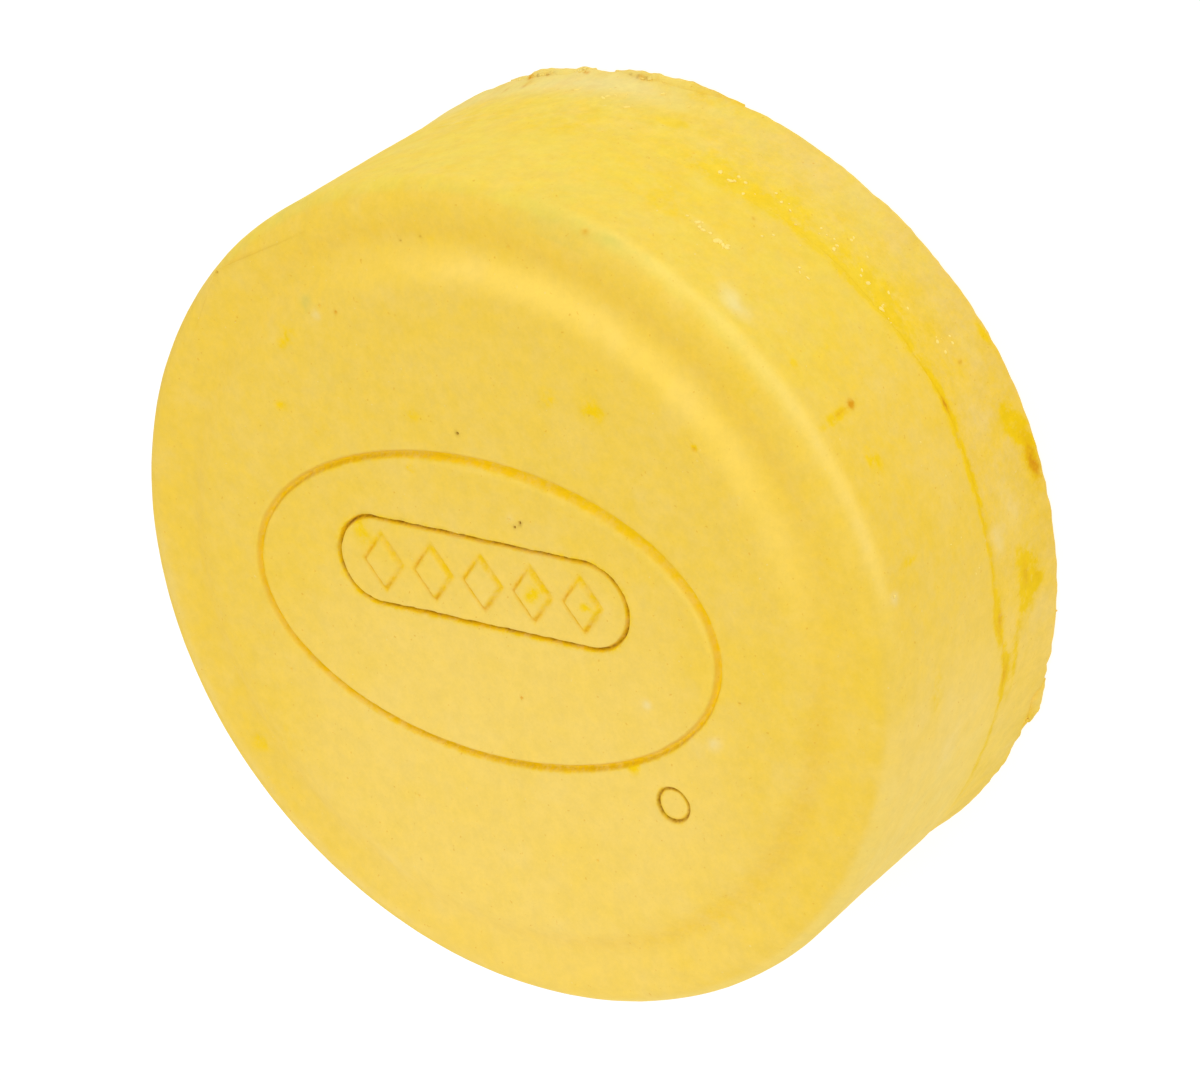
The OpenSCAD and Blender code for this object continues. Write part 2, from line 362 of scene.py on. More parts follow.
def plaque_points(offset, spacing):
    """Points beside the plaque's outline, offset out from it."""
    half, radius = (PLAQUE_L - PLAQUE_W) / 2, PLAQUE_W / 2
    straight, bend = 2 * half, math.pi * radius
    travel = np.arange(0, 2 * (straight + bend), spacing)
    second = travel >= straight + bend
    s = np.where(second, travel - straight - bend, travel)
    a = np.clip((s - straight) / radius, 0, None) - math.pi / 2
    x = np.where(s < straight, s - half, half + (radius + offset) * np.cos(a))
    y = np.where(s < straight, -radius - offset, (radius + offset) * np.sin(a))
    flip = np.where(second, -1, 1)
    return np.stack([OVAL_X + flip * x, OVAL_Y + PLAQUE_UP + flip * y], 1)


def scratch_points(start, end, width):
    """Points in five rows along a scratch."""
    start, end = np.array(start), np.array(end)
    length = np.linalg.norm(end - start)
    along = (end - start) / length
    across = np.array([-along[1], along[0]])
    line = start + np.outer(np.arange(-width, length + width, 0.12), along)
    return np.concatenate([line + share * width * across for share in (-1, -0.5, 0, 0.5, 1)])


def hex_points(radius, pitch):
    """A honeycomb of points that fills a circle."""
    columns = np.arange(-radius, radius, pitch)
    heights = np.arange(-radius, radius, pitch * math.sqrt(3) / 2)
    rows = [np.stack([columns + (i % 2) * pitch / 2, np.full(len(columns), y)], 1)
            for i, y in enumerate(heights)]
    points = np.concatenate(rows)
    return points[np.hypot(points[:, 0], points[:, 1]) < radius]


def clear_of(points, others, gap):
    """The points that are further than gap from all the others."""
    tree = kdtree.KDTree(len(others))
    for i, (x, y) in enumerate(others.tolist()):
        tree.insert((x, y, 0.0), i)
    tree.balance()
    return points[[tree.find((x, y, 0.0))[2] > gap for x, y in points.tolist()]]


def face_points():
    """Places on the face, close together where it has detail. The first COLUMNS are its outer ring."""
    # Each set of points keeps clear of those before it.
    taken = circle_points(RING_OUT_R, COLUMNS)
    for px, py, radius, _ in PITS:
        rings = [circle_points(radius * k, 12, px, py) for k in (0.35, 0.75, 1.1, 1.5)]
        taken = np.concatenate([taken, [[px, py]]] + rings)
    for start, end, width, _ in SCRATCHES:
        taken = np.concatenate([taken, clear_of(scratch_points(start, end, width), taken, 0.04)])

    dimple = [circle_points(r, 72, DIMPLE_X, DIMPLE_Y) for r in np.arange(0.95, 1.75, 0.08)]
    outline = [plaque_points(offset, 0.13) for offset in np.linspace(-0.28, 0.28, 9)]
    oval = [oval_points(offset, 0.2) for offset in np.linspace(-0.6, 0.6, 13)]
    for lines, gap in ((dimple, 0.05), (outline, 0.05), (oval, 0.07)):
        taken = np.concatenate([taken, clear_of(np.concatenate(lines), taken, gap)])

    plaque = hex_points(PLAQUE_L, 0.17) + (OVAL_X, OVAL_Y + PLAQUE_UP)
    plaque = plaque[plaque_gap(plaque[:, 0], plaque[:, 1]) < -0.3]
    step = 0.33
    slope = [circle_points(r, round(2 * math.pi * r / 0.36))
             for r in np.arange(RING_OUT_R - step, SLOPE_IN_R - 1, -step)]
    plain = hex_points(SLOPE_IN_R - 1, 0.4)
    for points, gap in ((plaque, 0.09), (np.concatenate(slope), 0.15), (plain, 0.22)):
        taken = np.concatenate([taken, clear_of(points, taken, gap)])
    return taken


# ---------------------------------------------------------------- the wall

def wall_radius(z, azimuths=AZIMUTHS):
    """The drawn wall's radius at height z."""
    rounder = bell(turn(azimuths, ROUNDER_AT), ROUNDER_SPREAD)
    draft = DRAFT - LESS_DRAFT * rounder
    depth = np.clip(WALL_TOP_Z - z, 0, DRAFT_RUN + MORE_RUN * rounder)
    return CAKE_R - draft * depth + WIDER_BY * bell(turn(azimuths, WIDER_AT), WIDER_SPREAD)


def flare(z):
    """Share of the back edge's bulge that is reached at height z."""
    return smooth((FLARE_Z - z) / FLARE_RUN) ** 1.5


def ragged_rim():
    """The back edge's bulge at each column, ragged and chipped."""
    bulge = through(RIM_BULGE, AZIMUTHS) + through(RIM_RAGGED, AZIMUTHS) * around(AZIMUTHS, 1.3, 3, 3)
    first, last, depth = RIM_CHIP
    return bulge - depth * span(turn(AZIMUTHS, 0), first, 2, last, 0.8)


pour_z = through(POUR_LINE, AZIMUTHS) + 0.16 * around(AZIMUTHS, 3.2, 1, 3)
# How strongly the first layer's lip stands over the second layer, from 0 to 1.
lip = sector(AZIMUTHS, -5, 78, 50) * np.clip(0.75 + 0.6 * around(AZIMUTHS, 9.0, 2), 0.2, 1)
pour_step = STEP_W * lip
rim_bulge = ragged_rim()
rim_round = 0.45 + 0.3 * np.abs(around(AZIMUTHS, 2.0, 4, 2))


def back_wall_radius(azimuths, z):
    """Radius of the finished back layer at any azimuth and height below the pour line."""
    bulge = np.interp(np.asarray(azimuths) % 360, AZIMUTHS, rim_bulge, period=360)
    step = np.interp(np.asarray(azimuths) % 360, AZIMUTHS, pour_step, period=360)
    return wall_radius(z, azimuths) - 0.6 * step + bulge * flare(z)


def surface_radius(azimuths, z):
    """Radius of the finished wall at any azimuth and height, on either side of the pour line."""
    line = through(POUR_LINE, azimuths)
    return np.where(z > line, wall_radius(z, azimuths), back_wall_radius(azimuths, z))


def ring(radius, height):
    """One ring of vertices: radius and height are numbers or one value for each column."""
    a = np.radians(AZIMUTHS)
    radius = np.broadcast_to(radius, COLUMNS)
    return np.stack([radius * np.cos(a), radius * np.sin(a), np.broadcast_to(height, COLUMNS)], 1)


def rings_to_faces(first, ring_count):
    """Quads between rings of COLUMNS vertices each, the first of which starts at index first."""
    faces = []
    for i in range(ring_count - 1):
        a = first + i * COLUMNS
        for j in range(COLUMNS):
            k = (j + 1) % COLUMNS
            faces.append((a + j, a + COLUMNS + j, a + COLUMNS + k, a + k))
    return faces


# ---------------------------------------------------------------- tints, stored on the vertices

# Warm is an even wash, and so is the painted highlight and painted reflection after it; the six tints after
# them are broken up, and their rich, stain and dirt are also painted shade in places. Uneven is the strength
# of the mottling, and the last is painted shade, how much darker the clay is painted.
TINTS = ("warm", "painted_highlight", "rich", "pale", "green", "lemon", "stain_and_shade", "dirt_and_shade", "uneven", "painted_shade")


class Places:
    """Where vertices lie, in each of the ways that a tint asks for."""

    def __init__(self, vertices):
        self.x, self.y, self.z = vertices.T
        self.r = np.hypot(self.x, self.y)
        self.azimuth = np.degrees(np.arctan2(self.y, self.x))
        self.on_face = smooth((self.z - RING_Z + 0.8) / 0.6)
        self.on_wall = 1 - self.on_face
        self.wander = np.stack([lumps(vertices, 1.6, 21 + i, 2) for i in range(2)], 1) * 0.45


def tint_marks(tints, at):
    """The single marks, each with a wandering outline."""
    across, up = at.wander.T
    for tint, marks in FACE_MARKS.items():
        for x, y, radius, strength in marks:
            sway = min(radius, 1)
            distance = np.hypot(at.x - x + across * sway, at.y - y + up * sway)
            tints[tint] += strength * bell(distance, radius) * at.on_face
    for tint, marks in WALL_MARKS.items():
        for azimuth, z, half_w, half_h, strength in marks:
            along = np.radians(turn(at.azimuth, azimuth)) * CAKE_R + across * min(half_w, 1.2)
            above = at.z - z + up * min(half_h, 1.2)
            tints[tint] += strength * np.exp(-(along / half_w) ** 2 - (above / half_h) ** 2) * at.on_wall


def tint_relief(tints, at):
    """Painted shade in the grooves and round the lozenges, richer in colour and darker, and a painted
    highlight by the oval.
    """
    x, y, on_face = at.x, at.y, at.on_face
    direction = oval_direction(x, y)
    from_oval, from_plaque, from_lozenge = oval_gap(x, y), plaque_gap(x, y), lozenge_gap(x, y)

    # Painted shade lies on one flank of the oval groove, and a painted highlight along the inner edge of its
    # wide stretch.
    wide = groove_width(x, y) / GROOVE_W
    flank = 0.2 * np.cos(np.radians(turn(direction, -45)))
    broad = sector(direction, 45, 75, 40)
    tints["rich"] += on_face * bell(from_oval - 0.6 * flank, 0.34 * wide)
    tints["stain_and_shade"] += on_face * 0.2 * bell(from_oval - flank, 0.2)
    tints["dirt_and_shade"] += on_face * (0.34 - 0.24 * broad) * bell(from_oval - flank, 0.17)
    tints["painted_highlight"] += on_face * 0.6 * broad * bell(from_oval + 0.7, 0.22)

    # Painted shade in the plaque's outline groove: richer in colour and darker.
    tints["rich"] += on_face * 1.3 * bell(from_plaque - 0.05, 0.26)
    tints["stain_and_shade"] += on_face * 0.35 * bell(from_plaque, 0.16)
    tints["dirt_and_shade"] += on_face * (0.8 + 0.4 * at.wander[:, 0]) * bell(from_plaque, 0.12)

    # Painted shade round the lozenges, richer in colour, and darker on their sides away from the light.
    dx, dy = lozenge_place(x, y)
    shaded = smooth(0.5 - (dx + 0.5 * dy) / 1.6)
    tints["rich"] += on_face * 0.8 * bell(from_lozenge - 0.12, 0.28)
    tints["stain_and_shade"] += on_face * (0.3 + 0.55 * shaded) * bell(from_lozenge - 0.14, 0.16)

    # Painted shade in the line round the dimple: richer in colour and darker.
    from_dimple = np.hypot(x - DIMPLE_X, y - DIMPLE_Y) - DIMPLE_R
    tints["rich"] += on_face * 0.8 * bell(from_dimple, 0.3)
    tints["stain_and_shade"] += on_face * 0.5 * bell(from_dimple, 0.2)
    tints["dirt_and_shade"] += on_face * 0.75 * bell(from_dimple, 0.15)


def tint_face(tints, at):
    """Broad differences over the face, the slope round its disc and the ring outside that."""
    r, azimuth, on_face = at.r, at.azimuth, at.on_face
    # The lower middle of the face is painted pale and bright as a painted reflection, and one side of the
    # slope carries a painted highlight.
    painted_light_patch = 1 - smooth((np.hypot(at.x, at.y - PAINTED_REFLECTION_Y) - PAINTED_REFLECTION_R) / PAINTED_REFLECTION_FADE)
    tints["warm"] += on_face * (0.45 - 0.33 * painted_light_patch + 0.06 * smooth((r - 26) / 4))
    tints["painted_highlight"] += on_face * 0.35 * painted_light_patch
    tints["painted_highlight"] += on_face * bell(r - SLOPE_MID_R, 1.2) * sector(azimuth, 60, 72, 60)
    # The ring beside that slope is tinted a little darker, and the other side of the slope carries painted
    # shade, darker and richer in colour.
    tints["stain_and_shade"] += on_face * 0.2 * bell(r - SLOPE_OUT_R - 0.8, 1.2) * sector(azimuth, 75, 85, 50)
    tints["stain_and_shade"] += on_face * 0.2 * bell(r - SLOPE_MID_R - 0.3, 1.3) * sector(azimuth, 315, 75, 50)
    tints["rich"] += on_face * 0.25 * bell(r - SLOPE_MID_R - 0.5, 1.3) * sector(azimuth, 325, 75, 50)
    tints["pale"] += on_face * 0.3 * bell(r - RING_OUT_R - 0.6, 0.8) * sector(azimuth, 215, 50, 25)


def tint_wall(tints, at):
    """Broad differences over the wall."""
    z, azimuth, on_wall = at.z, at.azimuth, at.on_wall
    # One end of the wall is pale and brightened by painted light, and its foot on the far side is pale.
    pale_end = span(azimuth, -110, 40, 14, 34)
    pale_foot = smooth((5.5 - z) / 3) * span(azimuth, 25, 20, 160, 30)
    tints["warm"] += on_wall * (0.5 - 0.26 * pale_foot - 0.3 * pale_end)
    tints["painted_highlight"] += on_wall * 0.75 * pale_end
    far_side = span(azimuth, 60, 30, 150, 20)
    tints["pale"] += on_wall * 0.25 * pale_end * smooth((z - 6) / 4)
    tints["pale"] += on_wall * 0.5 * far_side * smooth((9 - z) / 7)
    tints["lemon"] += on_wall * 0.25 * span(azimuth, -110, 40, -10, 15)
    tints["lemon"] += on_wall * 0.4 * span(azimuth, 20, 30, 150, 20)
    tints["lemon"] += on_wall * 0.1 * far_side * smooth((150 - azimuth) / 20)
    tints["uneven"] += 1 + 0.6 * on_wall * sector(azimuth, 40, 120, 30)
    # Painted shade darkens the wall's clay, a little more towards its foot.
    tints["painted_shade"] += on_wall * (0.05 + 0.02 * smooth((8 - z) / 6))


def tint_edge(tints, at):
    """Painted highlight on the rounded front edge, pale and bright, and a greenish band on the edge further
    round.
    """
    painted_light_patch = bell(at.z - WALL_TOP_Z - 0.8, 0.8) * (at.r > RING_OUT_R + 0.4) * sector(at.azimuth, 42, 46, 25)
    tints["painted_highlight"] += painted_light_patch
    tints["pale"] += 0.26 * painted_light_patch
    outer = at.r > RING_OUT_R
    tints["green"] += 0.5 * bell(at.z - WALL_TOP_Z - 1.3, 1.2) * outer * bell(turn(at.azimuth, 76), 9)


def tint_pour_line(tints, at):
    """Damp colour gathered along the pour line."""
    above = at.z - through(POUR_LINE, at.azimuth) - 0.3 * at.wander[:, 0]
    shown = sector(at.azimuth, 10, 60, 40) * (at.r > CAKE_R - 1.5)
    tints["rich"] += shown * 1.2 * bell(above + 0.15, 0.5)
    tints["stain_and_shade"] += shown * 0.28 * bell(above, 0.22) * sector(at.azimuth, 0, 45, 25)


def tints_at(vertices):
    """Strength of each tint at each vertex, from the marks and from the shape."""
    tints = {name: np.zeros(len(vertices)) for name in TINTS}
    at = Places(vertices)
    for add in (tint_marks, tint_relief, tint_face, tint_wall, tint_edge, tint_pour_line):
        add(tints, at)
    return tints


# ---------------------------------------------------------------- meshes

def piece(name, vertices, faces, material, stands_for=(), tinted=True):
    """A smooth-shaded mesh object from millimetre vertices, riding on the root body."""
    vertices = np.asarray(vertices)
    mesh = bpy.data.meshes.new(name)
    mesh.from_pydata((vertices * MM).tolist(), [], faces)
    mesh.polygons.foreach_set("use_smooth", [True] * len(mesh.polygons))
    if tinted:
        for tint, values in tints_at(vertices).items():
            attribute = mesh.attributes.new(tint, "FLOAT", "POINT")
            attribute.data.foreach_set("value", values.astype(np.float32))
    obj = bpy.data.objects.new(name, mesh)
    bpy.context.scene.collection.objects.link(obj)
    mesh.materials.append(material)
    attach(obj, "root")
    if stands_for:
        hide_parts(*stands_for)


def roughen(vertices, faces, seed):
    """The vertices moved along the surface's normal by the unevenness of a hand-poured cast."""
    mesh = bpy.data.meshes.new("scratch")
    mesh.from_pydata(vertices.tolist(), [], faces)
    normals = np.zeros(len(vertices) * 3, np.float32)
    mesh.vertices.foreach_get("normal", normals)
    bpy.data.meshes.remove(mesh)
    normals = normals.reshape(-1, 3).astype(float)
    on_wall = smooth((RING_Z - vertices[:, 2]) / 3)
    height = (0.03 + 0.05 * on_wall) * lumps(vertices, 9.0, seed) + 0.014 * lumps(vertices, 1.7, seed + 1, 2)
    height += on_wall * 0.02 * lumps(vertices * (1, 1, 0.4), 3.0, seed + 2)
    return vertices + normals * height[:, None]


def build_front(material):
    """The first layer: face, rounded edge, wall and lip, closed by the dish on its underside."""
    points = [Vector(p) for p in face_points().tolist()]
    flat, _, triangles, _, _, _ = geometry.delaunay_2d_cdt(points, [], [], 0, 1e-5)
    flat = np.array([tuple(p) for p in flat])
    face = np.column_stack([flat, face_height(flat[:, 0], flat[:, 1])])

    # The edge round, which passes from the face's circle to the wall's own outline.
    rings = []
    crown = wall_radius(WALL_TOP_Z) - EDGE_R
    for a in np.radians(np.linspace(8, 90, EDGE_RINGS)):
        blend = math.sin(a)
        inner = RING_OUT_R * (1 - blend) + crown * blend
        rings.append(ring(inner + EDGE_R * math.sin(a), WALL_TOP_Z + EDGE_R * math.cos(a)))

    # The wall, with a bead that swells just above the lip, and the lip's small round.
    lip_r = 0.03 + 0.12 * lip
    low = pour_z + lip_r
    for t in np.linspace(0, 1, WALL_RINGS + 1)[1:]:
        z = WALL_TOP_Z + (low - WALL_TOP_Z) * t
        swell = BEAD_W * lip * bell(z - pour_z - 0.5, 0.6)
        rings.append(ring(wall_radius(z) + swell, z))
    edge = wall_radius(low) + BEAD_W * lip * bell(lip_r - 0.5, 0.6)
    for a in np.radians([30, 60, 90]):
        rings.append(ring(edge - lip_r + lip_r * math.cos(a), low - lip_r * math.sin(a)))

    # The underside, hidden behind the second layer.
    inner = edge - np.maximum(pour_step + BEAD_W * lip, lip_r) - 0.02
    rings.append(ring(inner, pour_z))
    rings.append(ring(inner - 0.03, pour_z + 0.5))
    rings.append(ring(CAKE_R - 3, DISH_Z))
    rings.append(ring(CAKE_R / 2, DISH_Z))

    # The triangulation keeps the order of the points, so the face's outer ring still comes first.
    first_ring = len(face)
    vertices = np.concatenate([face] + rings + [[[0, 0, DISH_Z]]])
    faces = [tuple(t) for t in triangles]
    faces += [(j, first_ring + j, first_ring + (j + 1) % COLUMNS, (j + 1) % COLUMNS) for j in range(COLUMNS)]
    faces += rings_to_faces(first_ring, len(rings))
    last = first_ring + (len(rings) - 1) * COLUMNS
    faces += [(last + j, len(vertices) - 1, last + (j + 1) % COLUMNS) for j in range(COLUMNS)]
    piece("front_cast", roughen(vertices, faces, 31), faces, material, ["front_layer"])


def build_back(material):
    """The second layer: its hidden top, the wall under the pour line, the ragged edge and flat back."""
    inside = DISH_Z - 0.05
    top = wall_radius(pour_z) - pour_step
    # The wall is set in by the whole step at the pour line, and by half of it lower down.
    rings = [ring(CAKE_R / 2, inside), ring(CAKE_R - 3, inside), ring(top - 0.08, pour_z + 0.42)]
    for t in np.linspace(0, 1, BACK_RINGS):
        z = pour_z + (rim_round - pour_z) * t
        set_in = pour_step * (1 - 0.5 * smooth((pour_z - z) / 4))
        rings.append(ring(wall_radius(z) - set_in + rim_bulge * flare(z), z))
    foot = wall_radius(rim_round) - 0.5 * pour_step + rim_bulge * flare(rim_round)
    for a in np.radians(np.linspace(18, 90, FOOT_RINGS)):
        rings.append(ring(foot - rim_round * (1 - math.cos(a)), rim_round * (1 - math.sin(a))))
    for step in np.linspace(0, 1, BASE_RINGS + 2)[1:-1]:
        rings.append(ring((foot - rim_round) * (1 - step), 0.0))

    vertices = np.concatenate([[[0, 0, inside]]] + rings + [[[0, 0, 0]]])
    faces = [(0, 1 + j, 1 + (j + 1) % COLUMNS) for j in range(COLUMNS)]
    faces += rings_to_faces(1, len(rings))
    last = 1 + (len(rings) - 1) * COLUMNS
    faces += [(last + j, len(vertices) - 1, last + (j + 1) % COLUMNS) for j in range(COLUMNS)]
    vertices = roughen(vertices, faces, 41)
    vertices[:, 2] = np.maximum(vertices[:, 2], 0)
    piece("back_pour", vertices, faces, material, ["back_layer"])


def ball():
    """Vertices and faces of a ball of radius 1."""
    mesh = bmesh.new()
    bmesh.ops.create_icosphere(mesh, subdivisions=2, radius=1.0)
    vertices = np.array([v.co[:] for v in mesh.verts])
    faces = np.array([[v.index for v in f.verts] for f in mesh.faces])
    mesh.free()
    return vertices, faces


def crumbs(patches, flatness, radius_at):
    """Vertices and faces of many small closed lumps in patches on the wall, flattened against it."""
    shape, ball_faces = ball()
    vertices, faces = [], []
    for at, height, half_w, half_h, count, size in patches:
        for _ in range(count):
            azimuth = at + np.degrees(rng.normal(0, half_w / 1.5) / CAKE_R)
            z = max(height + rng.normal(0, half_h / 1.5), 0.12)
            extent = size * rng.uniform(0.4, 1.5)
            stretch = np.array([flatness, rng.uniform(0.7, 1.8), rng.uniform(0.7, 1.2)])
            lump = shape * (1 + 0.35 * lumps(shape, 1.0, rng.integers(1000)))[:, None] * extent * stretch
            spin = rng.uniform(0, math.pi)
            c, s = math.cos(spin), math.sin(spin)
            lump[:, 1:] = lump[:, 1:] @ np.array([[c, s], [-s, c]])
            a = math.radians(azimuth)
            out, along, up = (math.cos(a), math.sin(a), 0), (-math.sin(a), math.cos(a), 0), (0, 0, 1)
            centre = np.array(out) * float(radius_at(np.array([azimuth]), z)[0]) + (0, 0, z)
            placed = centre + lump @ np.array([out, along, up])
            placed[:, 2] = np.maximum(placed[:, 2], 0.02)
            faces += (ball_faces + len(shape) * len(vertices)).tolist()
            vertices.append(placed)
    return np.concatenate(vertices), faces


def flash_ridge(first, last, thickness):
    """A closed ridge of overflow that hugs the back edge and dies out at both ends."""
    sides = 14
    steps = np.arange(first, last, 0.2)
    count = len(steps)
    fade = np.sin(np.linspace(0, math.pi, count)) ** 0.8
    bump = np.clip(0.75 + 0.8 * around(steps, 2.2, 51, 3), 0.15, 1.5)
    thick = np.maximum(thickness * fade * bump, 0.03)
    tall = 0.6 + 0.35 * around(steps, 2.5, 52, 2)
    loop = np.linspace(0, 2 * math.pi, sides, endpoint=False)
    buried = 0.3
    vertices = []
    for azimuth, t, h, f in zip(steps, thick, tall, fade):
        z = 0.05 + h * (0.3 + 0.7 * f) * (1 + np.sin(loop)) * 0.8
        r = back_wall_radius(np.full(sides, azimuth), 0.6) - buried + (t + buried) * np.cos(loop)
        a = math.radians(azimuth)
        vertices.append(np.stack([r * math.cos(a), r * math.sin(a), z], 1))
    vertices = np.concatenate(vertices)
    vertices += 0.03 * np.stack([lumps(vertices, 0.5, 53 + i) for i in range(3)], 1)
    vertices[:, 2] = np.maximum(vertices[:, 2], 0.02)
    faces = []
    for i in range(count - 1):
        here, there = i * sides, (i + 1) * sides
        for j in range(sides):
            k = (j + 1) % sides
            faces.append((here + j, here + k, there + k, there + j))
    faces.append(tuple(reversed(range(sides))))
    faces.append(tuple((count - 1) * sides + j for j in range(sides)))
    return vertices, faces


def build_flash(material):
    """The overflow on the back edge: ridges, and crumbs on and beside them."""
    vertices, faces = crumbs(RIM_CRUMBS, 0.8, back_wall_radius)
    for first, last, thickness in FLASH_RIDGES:
        more, more_faces = flash_ridge(first, last, thickness)
        faces += [tuple(i + len(vertices) for i in f) for f in more_faces]
        vertices = np.concatenate([vertices, more])
    piece("rim_crumbs", vertices, faces, material, ["rim_flash"])


def build_flecks(material):
    """Small bright crumbs of dust that cling to the wall."""
    vertices, faces = crumbs(PALE_FLECKS, 0.45, surface_radius)
    piece("pale_flecks", vertices, faces, material, tinted=False)


# ---------------------------------------------------------------- materials

def linear(r, g, b):
    """A scene-linear colour from sRGB numbers 0 to 255."""
    shares = [c / 255 for c in (r, g, b)]
    return tuple(s / 12.92 if s <= 0.04045 else ((s + 0.055) / 1.055) ** 2.4 for s in shares) + (1.0,)


PLAIN = linear(239, 206, 110)
BACK_PLAIN = linear(241, 206, 110)
FLASH_PLAIN = linear(246, 208, 100)
RICH = linear(246, 204, 2)
# The colour of painted highlight and painted reflection.
PAINTED_HIGHLIGHT = linear(255, 219, 98)
# Stain and dirt, which also serve as painted shade in grooves and on the slope.
STAIN_AND_SHADE = linear(224, 156, 4)
DIRT_AND_SHADE = linear(132, 78, 2)
PALE = linear(244, 226, 172)
GREEN = linear(206, 196, 98)
LEMON = linear(242, 222, 92)
DUST, BRIGHT_DUST = linear(248, 220, 116), linear(252, 228, 128)
FLOOR_GREY = linear(150, 150, 150)
WHITE = (1, 1, 1, 1)


class Graph:
    """Short ways to add shader nodes to one material."""

    def __init__(self, name):
        self.material = bpy.data.materials.new(name)
        self.material.use_nodes = True
        self.tree = self.material.node_tree
        self.shader = self.tree.nodes["Principled BSDF"]
        place = self.tree.nodes.new("ShaderNodeTexCoord")
        scale = self.tree.nodes.new("ShaderNodeVectorMath")
        scale.operation = "SCALE"
        scale.inputs["Scale"].default_value = 1 / MM
        self.tree.links.new(place.outputs["Object"], scale.inputs[0])
        self.millimetres = scale.outputs[0]

    def put(self, value, socket):
        """A number, a colour or another node's output goes into a socket."""
        if isinstance(value, bpy.types.NodeSocket):
            self.tree.links.new(value, socket)
        else:
            socket.default_value = value

    def noise(self, size, seed, detail=2.0, rough=0.5):
        """Noise around 0.5 with lumps about size millimetres across."""
        node = self.tree.nodes.new("ShaderNodeTexNoise")
        node.noise_dimensions = "4D"
        node.inputs["W"].default_value = seed
        node.inputs["Scale"].default_value = 1 / size
        node.inputs["Detail"].default_value = detail
        node.inputs["Roughness"].default_value = rough
        self.tree.links.new(self.millimetres, node.inputs["Vector"])
        return node.outputs["Fac"]

    def maths(self, operation, a, b):
        node = self.tree.nodes.new("ShaderNodeMath")
        node.operation = operation
        self.put(a, node.inputs[0])
        self.put(b, node.inputs[1])
        return node.outputs[0]

    def between(self, value, low, high, to_low=0.0, to_high=1.0):
        """The value's place between low and high, smoothed and limited."""
        node = self.tree.nodes.new("ShaderNodeMapRange")
        node.interpolation_type = "SMOOTHSTEP"
        self.put(value, node.inputs["Value"])
        for name, number in (("From Min", low), ("From Max", high), ("To Min", to_low), ("To Max", to_high)):
            node.inputs[name].default_value = number
        return node.outputs[0]

    def attribute(self, name):
        node = self.tree.nodes.new("ShaderNodeAttribute")
        node.attribute_name = name
        return node.outputs["Fac"]

    def grey(self, value):
        """A colour whose three channels are the value."""
        node = self.tree.nodes.new("ShaderNodeCombineColor")
        for channel in node.inputs[:3]:
            self.put(value, channel)
        return node.outputs[0]

    def mix(self, factor, a, b, how="MIX"):
        node = self.tree.nodes.new("ShaderNodeMix")
        node.data_type = "RGBA"
        node.blend_type = how
        self.put(factor, node.inputs[0])
        self.put(a, node.inputs[6])
        self.put(b, node.inputs[7])
        return node.outputs[2]

    def bump(self, height, distance, under=None):
        """A bump of that many millimetres for a height from 0 to 1, on top of another one."""
        node = self.tree.nodes.new("ShaderNodeBump")
        node.inputs["Strength"].default_value = 1.0
        node.inputs["Distance"].default_value = distance * MM
        self.put(height, node.inputs["Height"])
        if under:
            self.tree.links.new(under, node.inputs["Normal"])
        return node.outputs[0]


